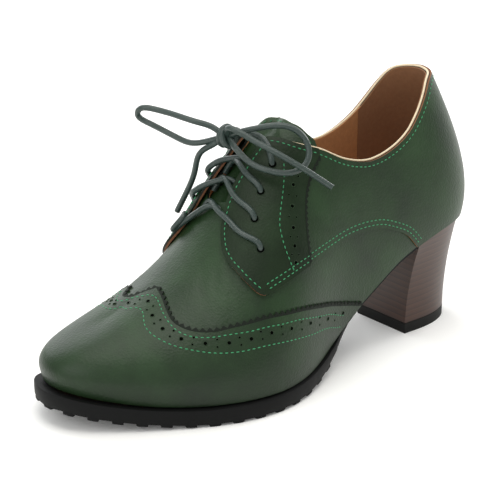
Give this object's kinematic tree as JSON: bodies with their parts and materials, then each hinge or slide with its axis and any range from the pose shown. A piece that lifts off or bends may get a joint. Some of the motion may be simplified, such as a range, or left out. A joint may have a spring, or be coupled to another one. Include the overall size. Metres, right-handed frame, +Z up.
{
  "type": "shoe",
  "caption": "Block-heeled lace-up leather shoe with winged, perforated toe cap, lugged sole and tied bow; left foot, open inside.",
  "frame": {"origin": "on the floor under the middle of the shoe's bounding box, its free lace ends left out", "axes": "+X toward the toe, +Y toward the outer side of this left shoe, +Z up, sole and heel standing on Z = 0"},
  "size_m": [0.256, 0.1017, 0.1366],
  "materials": {
    "upper": "softly polished dark green leather",
    "quarter_lateral": "softly polished dark green leather",
    "quarter_medial": "softly polished dark green leather",
    "eyestay_lateral": "softly polished dark green leather",
    "eyestay_medial": "softly polished dark green leather",
    "wing_cap": "softly polished dark green leather",
    "tongue": "softly polished dark green leather",
    "insole": "brown lining leather",
    "outsole": "matt black rubber",
    "heel": "stacked dark brown leather",
    "heel_tip": "matt dark rubber",
    "lace_crossing_1": "waxed round lace",
    "lace_crossing_2": "waxed round lace",
    "lace_crossing_3": "waxed round lace",
    "lace_top_bars": "waxed round lace",
    "lace_knot": "waxed round lace",
    "lace_loop_left": "waxed round lace",
    "lace_loop_right": "waxed round lace",
    "lace_end_left": "waxed round lace",
    "lace_end_right": "waxed round lace"
  },
  "bodies": {
    "root": {"upper": "upper", "quarter_lateral": "quarter_lateral", "quarter_medial": "quarter_medial", "eyestay_lateral": "eyestay_lateral", "eyestay_medial": "eyestay_medial", "wing_cap": "wing_cap", "tongue": "tongue", "insole": "insole", "outsole": "outsole", "heel": "heel", "heel_tip": "heel_tip", "lace_crossing_1": "lace_crossing_1", "lace_crossing_2": "lace_crossing_2", "lace_crossing_3": "lace_crossing_3", "lace_top_bars": "lace_top_bars", "lace_knot": "lace_knot", "lace_loop_left": "lace_loop_left", "lace_loop_right": "lace_loop_right", "lace_end_left": "lace_end_left", "lace_end_right": "lace_end_right"}
  },
  "joints": []
}
